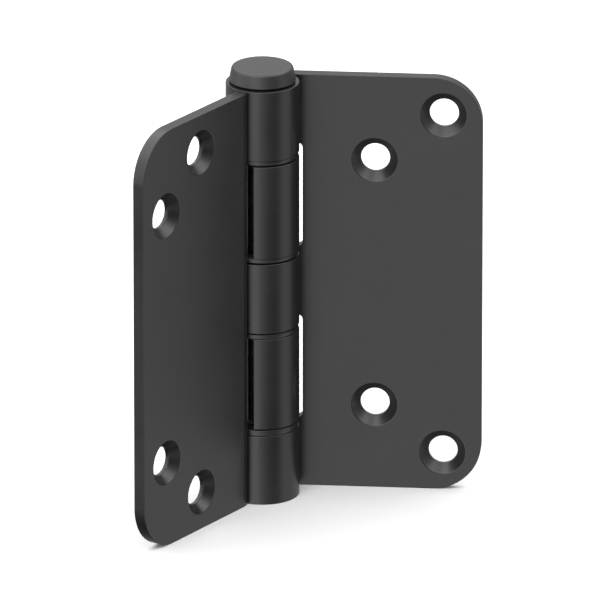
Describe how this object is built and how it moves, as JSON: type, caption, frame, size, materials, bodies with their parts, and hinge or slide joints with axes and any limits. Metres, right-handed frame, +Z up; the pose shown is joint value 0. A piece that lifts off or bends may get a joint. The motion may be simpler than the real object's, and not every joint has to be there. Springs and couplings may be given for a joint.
{
  "type": "door hinge",
  "caption": "Black butt hinge with rounded leaf corners, countersunk screw holes in a zigzag, bearing rings between the knuckles and a flat round pin cap, opened to an obtuse angle.",
  "frame": {"origin": "on the pin axis, level with the bottom edges of the leaves", "axes": "+Z up along the pin axis, +X along the frame leaf away from the pin, +Y out of the frame leaf's back"},
  "size_m": [0.0672, 0.0469, 0.0923],
  "materials": {
    "black_coat": "satin black powder coat on pressed steel",
    "pin_steel": "ground steel",
    "bush_polymer": "matte black bearing polymer"
  },
  "bodies": {
    "frame_side": {"frame_leaf": "black_coat", "hinge_pin": "pin_steel", "pin_cap": "black_coat", "bottom_plug": "black_coat", "top_bush": "bush_polymer", "middle_sleeve": "pin_steel", "bottom_bush": "bush_polymer"},
    "door_side": {"door_leaf": "black_coat", "upper_bush": "bush_polymer", "lower_bush": "bush_polymer"}
  },
  "joints": [
    {"name": "door_swing", "type": "hinge", "parent": "frame_side", "child": "door_side", "pos_m": [0, 0, 0.0445], "axis": [0, 0, -1], "range_deg": [-120, 150]}
  ]
}
